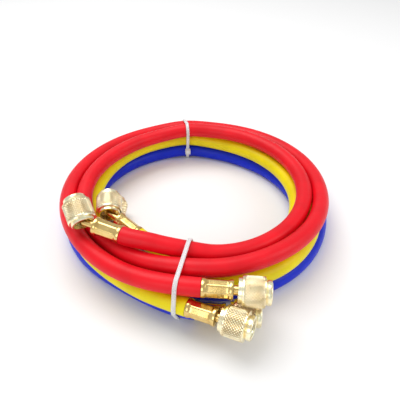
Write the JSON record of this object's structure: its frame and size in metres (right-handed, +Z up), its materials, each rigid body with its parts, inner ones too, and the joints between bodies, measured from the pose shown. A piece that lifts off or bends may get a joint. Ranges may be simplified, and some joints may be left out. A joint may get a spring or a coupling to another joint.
{
  "type": "refrigerant charging hose set",
  "caption": "Coiled refrigerant charging hoses with knurled brass swivel nuts, straight at one end and angled at the other, held in a bundle by cable ties.",
  "frame": {"origin": "on the floor, under the middle of the set's box, a few millimetres from the coil's axis", "axes": "+Z up; -Y towards the fittings at the front of the coil, so that the straight ends point along +X and the angled ends lie on the -X side"},
  "size_m": [0.1954, 0.233, 0.0558],
  "materials": {
    "red_rubber": "satin",
    "yellow_rubber": "satin",
    "blue_rubber": "satin",
    "brass": "polished",
    "black_rubber": "matt",
    "nylon": "satin"
  },
  "bodies": {
    "set": {"red_hose": "red_rubber", "red_angled_ferrule": "brass", "red_elbow": "brass", "red_angled_gasket": "black_rubber", "red_depressor": "brass", "red_straight_ferrule": "brass", "red_straight_stem": "brass", "red_straight_gasket": "black_rubber", "yellow_hose": "yellow_rubber", "yellow_angled_ferrule": "brass", "yellow_elbow": "brass", "yellow_angled_gasket": "black_rubber", "yellow_depressor": "brass", "yellow_straight_ferrule": "brass", "yellow_straight_stem": "brass", "yellow_straight_gasket": "black_rubber", "blue_hose": "blue_rubber", "blue_angled_ferrule": "brass", "blue_elbow": "brass", "blue_angled_gasket": "black_rubber", "blue_depressor": "brass", "blue_straight_ferrule": "brass", "blue_straight_stem": "brass", "blue_straight_gasket": "black_rubber", "back_tie": "nylon", "front_tie": "nylon"},
    "red_angled_nut_body": {"red_angled_nut": "brass"},
    "red_straight_nut_body": {"red_straight_nut": "brass"},
    "yellow_angled_nut_body": {"yellow_angled_nut": "brass"},
    "yellow_straight_nut_body": {"yellow_straight_nut": "brass"},
    "blue_angled_nut_body": {"blue_angled_nut": "brass"},
    "blue_straight_nut_body": {"blue_straight_nut": "brass"}
  },
  "joints": [
    {"name": "red_angled_swivel", "type": "hinge", "parent": "set", "child": "red_angled_nut_body", "pos_m": [-0.07029, -0.04438, 0.04564], "axis": [-0.4118, 0.7864, 0.4605], "continuous": true},
    {"name": "red_straight_swivel", "type": "hinge", "parent": "set", "child": "red_straight_nut_body", "pos_m": [0.03283, -0.09398, 0.03103], "axis": [0.9949, -0.1011, 0], "continuous": true},
    {"name": "yellow_angled_swivel", "type": "hinge", "parent": "set", "child": "yellow_angled_nut_body", "pos_m": [-0.05843, -0.01762, 0.02847], "axis": [-0.1342, 0.9711, 0.1973], "continuous": true},
    {"name": "yellow_straight_swivel", "type": "hinge", "parent": "set", "child": "yellow_straight_nut_body", "pos_m": [0.0231, -0.10655, 0.02022], "axis": [0.9199, -0.3905, 0.0349], "continuous": true},
    {"name": "blue_angled_swivel", "type": "hinge", "parent": "set", "child": "blue_angled_nut_body", "pos_m": [-0.05911, -0.00227, 0.01125], "axis": [0.0588, 0.9909, 0.1213], "continuous": true},
    {"name": "blue_straight_swivel", "type": "hinge", "parent": "set", "child": "blue_straight_nut_body", "pos_m": [0.02933, -0.09263, 0.00892], "axis": [0.9945, -0.1045, 0], "continuous": true}
  ]
}
